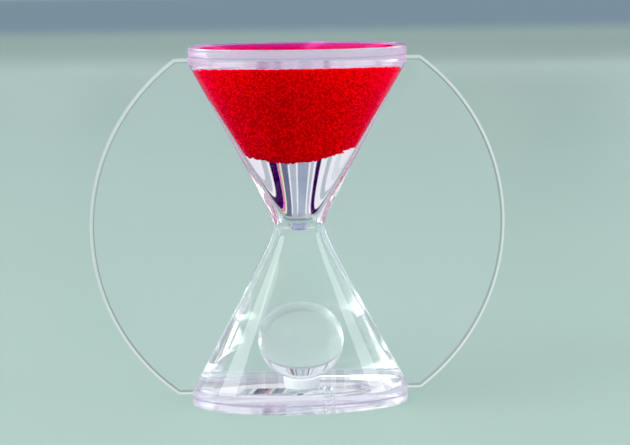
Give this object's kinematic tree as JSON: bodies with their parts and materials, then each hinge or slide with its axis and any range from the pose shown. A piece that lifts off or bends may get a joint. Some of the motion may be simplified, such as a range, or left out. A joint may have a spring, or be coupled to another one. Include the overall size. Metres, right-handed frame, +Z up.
{
  "type": "liquid-filled bead timer",
  "caption": "clear oval hourglass filled with liquid, red beads floating under its top lid, a glass ball on a milky stub below, and clear side wings forming a disc with flat ends",
  "frame": {"origin": "on the table, under the middle of the oval base", "axes": "X runs across the wings, Y through the thin depth, Z up the axis of the hourglass"},
  "size_m": [0.138, 0.043, 0.119],
  "materials": {
    "clear_acrylic": "polished clear acrylic",
    "milky_acrylic": "milky translucent acrylic",
    "ball_glass": "polished clear glass",
    "red_beads": "red polymer beads",
    "clear_filling": "clear liquid"
  },
  "bodies": {
    "housing": {"upper_cone": "clear_acrylic", "lower_cone": "clear_acrylic", "upper_lid": "clear_acrylic", "base_lid": "clear_acrylic", "flow_disc": "clear_acrylic", "left_wing": "clear_acrylic", "right_wing": "clear_acrylic", "fill_plug": "clear_acrylic", "ball_seat": "milky_acrylic", "bead_charge": "red_beads", "clear_liquid": "clear_filling"},
    "ball": {"glass_ball": "ball_glass"},
    "beads_afloat": {"rising_beads": "red_beads"}
  },
  "joints": [
    {"name": "ball_lift", "type": "slide", "parent": "housing", "child": "ball", "axis": [0, 0, 1], "range_m": [0, 0.002], "deforming": ["clear_liquid"]},
    {"name": "bead_rise", "type": "slide", "parent": "housing", "child": "beads_afloat", "axis": [0, 0, 1], "range_m": [-0.0455, 0], "deforming": ["clear_liquid"]}
  ]
}
